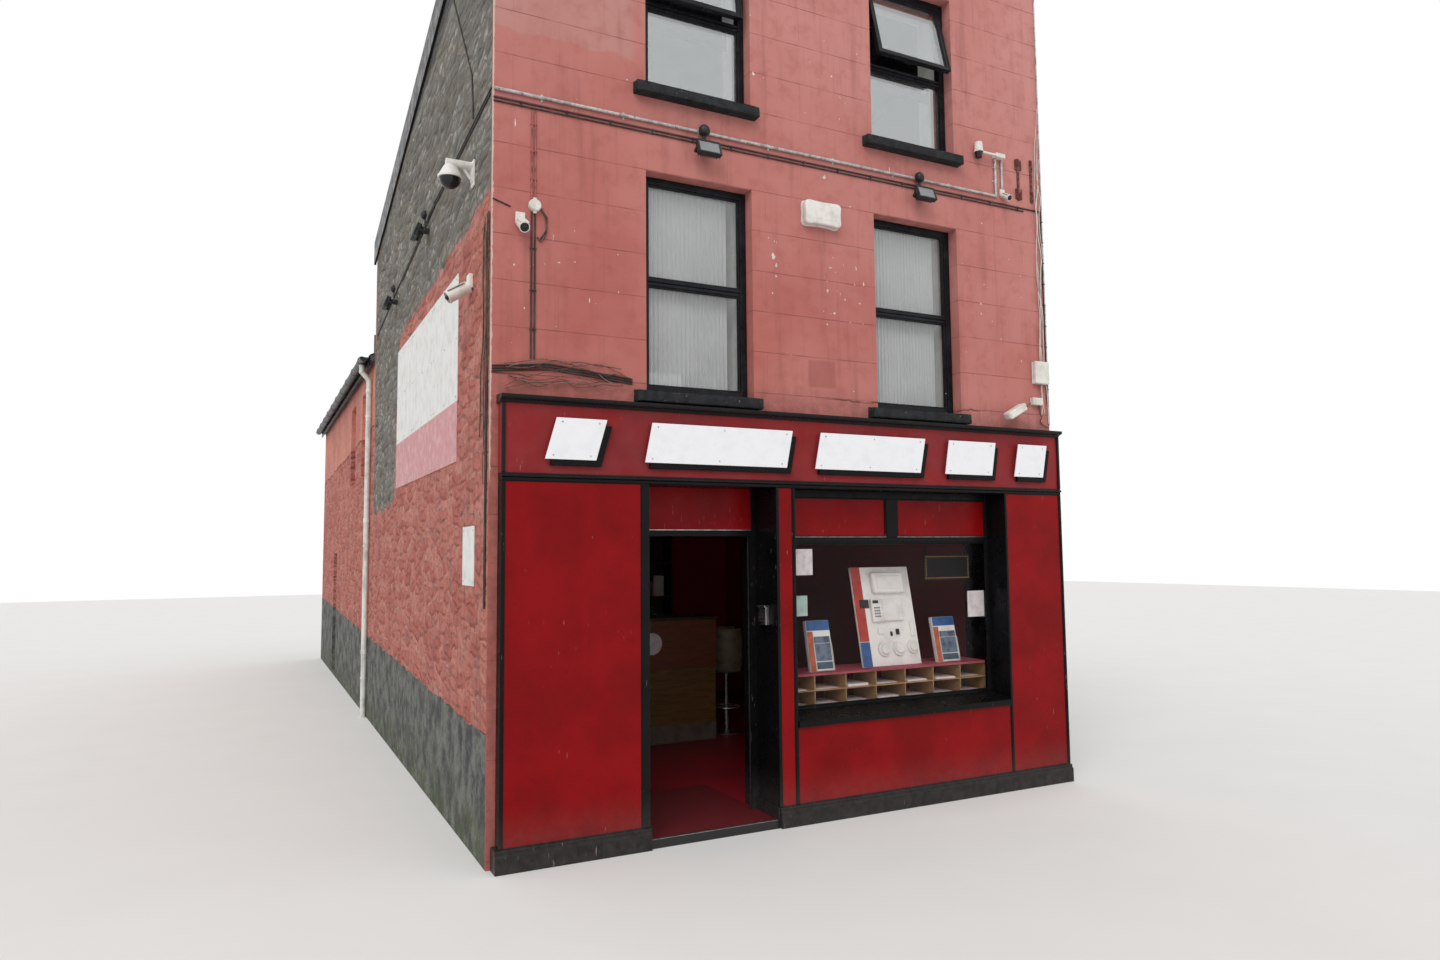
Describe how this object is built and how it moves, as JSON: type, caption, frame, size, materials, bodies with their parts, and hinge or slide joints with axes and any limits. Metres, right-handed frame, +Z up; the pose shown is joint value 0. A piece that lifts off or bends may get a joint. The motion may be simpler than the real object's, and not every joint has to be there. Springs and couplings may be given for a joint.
{
  "type": "corner shop building",
  "caption": "Narrow rendered corner shop with rooms over it, a timber shopfront with a hinged door, a rubble gable and a slated rear return.",
  "frame": {"origin": "left corner of the street wall at pavement level", "axes": "+X right along the street front, +Y into the building, +Z up"},
  "size_m": [5.4669, 14.8335, 7.93],
  "materials": {
    "black_gloss": "black gloss paint",
    "black_upvc": "black window profile",
    "cable_sheath": "black cable sheath",
    "concrete": "concrete floor",
    "counter_board": "orange brown veneer",
    "cut_stone": "dressed dark limestone",
    "dark_board": "dark stained board",
    "floor_boards": "softwood floor boards",
    "glass": "clear window glass",
    "lamp_black": "black cast lamp body",
    "net": "white net",
    "oak_board": "light veneered board",
    "party_masonry": "plain cement render",
    "pipe_grey": "pale pipe plastic",
    "red_gloss": "deep red gloss paint",
    "rubble": "rubble masonry, partly painted",
    "salmon_render": "weathered painted render with scribed joints",
    "satin_steel": "satin steel",
    "slate": "natural roof slates",
    "stool_cover": "cream padded cover",
    "white_board": "white gloss board",
    "white_plastic": "white plastic housing"
  },
  "bodies": {
    "building": {"ground_slab": "concrete", "shop_piers": "salmon_render", "shop_beam": "salmon_render", "front_wall_first": "salmon_render", "front_wall_second": "salmon_render", "parapet_coping": "cut_stone", "gable_wall": "rubble", "party_wall": "party_masonry", "rear_wall": "party_masonry", "upper_floors": "floor_boards", "main_roof": "slate", "roof_edge_boards": "black_gloss", "window_sills": "cut_stone", "window_frames": "black_upvc", "opener_sashes": "black_upvc", "window_rails": "black_upvc", "inner_linings": "white_board", "upper_glass": "glass", "net_curtains": "net", "shop_panels": "red_gloss", "shop_trim": "black_gloss", "shop_plinth": "black_gloss", "fascia_board": "red_gloss", "fascia_cornice": "black_gloss", "sign_boards": "white_board", "recess_linings": "black_gloss", "door_frames": "black_gloss", "threshold": "cut_stone", "shop_window_frame": "black_gloss", "shop_glass": "glass", "window_ledge": "cut_stone", "return_side_wall": "rubble", "return_yard_walls": "party_masonry", "return_roof": "slate", "rainwater_pipes": "pipe_grey", "gable_plates": "white_board", "front_plates": "lamp_black", "cameras": "white_plastic", "floodlights": "lamp_black", "wall_boxes": "white_plastic", "conduits": "pipe_grey", "wall_cables": "cable_sheath", "counter": "counter_board", "bar_stool": "stool_cover", "wall_shelves": "dark_board", "pigeonhole_shelves": "oak_board", "pigeonhole_dividers": "oak_board", "window_display": "white_board"},
    "shop_door": {"door_leaf": "black_gloss", "door_glass": "glass", "door_furniture": "satin_steel"},
    "side_door": {"side_door_leaf": "black_gloss", "side_door_furniture": "satin_steel"}
  },
  "joints": [
    {"name": "shop_door_hinge", "type": "hinge", "parent": "building", "child": "shop_door", "pos_m": [1.17, 0.313, 0], "axis": [0, 0, 1], "range_deg": [-90, 0]},
    {"name": "side_door_hinge", "type": "hinge", "parent": "building", "child": "side_door", "pos_m": [0.198, 11.958, 0], "axis": [0, 0, 1], "range_deg": [0, 90]}
  ]
}
